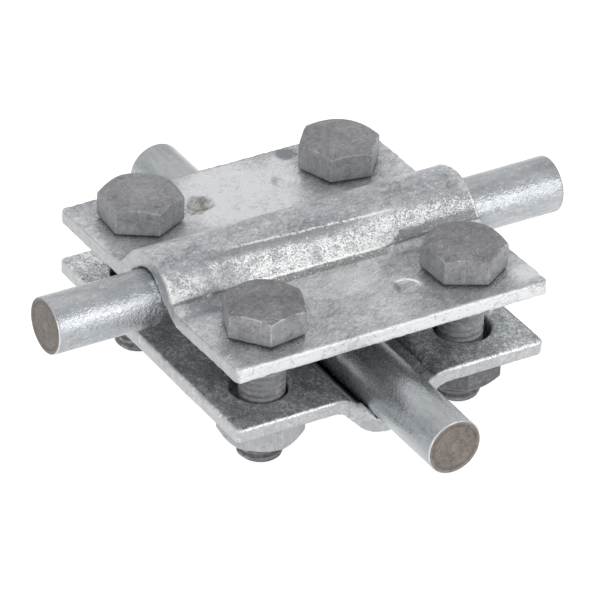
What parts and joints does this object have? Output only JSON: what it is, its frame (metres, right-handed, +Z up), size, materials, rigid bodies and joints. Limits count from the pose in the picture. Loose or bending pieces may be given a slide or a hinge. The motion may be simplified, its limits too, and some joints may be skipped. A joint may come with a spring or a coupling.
{
  "type": "earthing cross connector",
  "caption": "Cross connector for earthing conductors: two square pressed steel plates with arched grooves, bolted at the corners, clamp two round rods that cross at a right angle.",
  "frame": {"origin": "middle of the overall box at its base: the crossing of the two conductors is straight above it, and the ends of the two back bolts touch Z = 0", "axes": "+X along the upper conductor, +Y along the lower conductor, +Z up through the crossing, towards the bolt heads"},
  "size_m": [0.0992, 0.0992, 0.0318],
  "materials": {
    "galvanised_plate": "hot-dip galvanised, mottled",
    "galvanised_rod": "hot-dip galvanised, smooth, bare cut ends",
    "dull_zinc_fastener": "dull matt zinc"
  },
  "bodies": {
    "root": {"bolt_back_left": "dull_zinc_fastener", "bolt_back_right": "dull_zinc_fastener", "bolt_front_left": "dull_zinc_fastener", "bolt_front_right": "dull_zinc_fastener", "lower_clamp_plate": "galvanised_plate", "lower_round_conductor": "galvanised_rod", "nut_back_left": "dull_zinc_fastener", "nut_back_right": "dull_zinc_fastener", "nut_front_left": "dull_zinc_fastener", "nut_front_right": "dull_zinc_fastener", "upper_clamp_plate": "galvanised_plate", "upper_round_conductor": "galvanised_rod"}
  },
  "joints": []
}
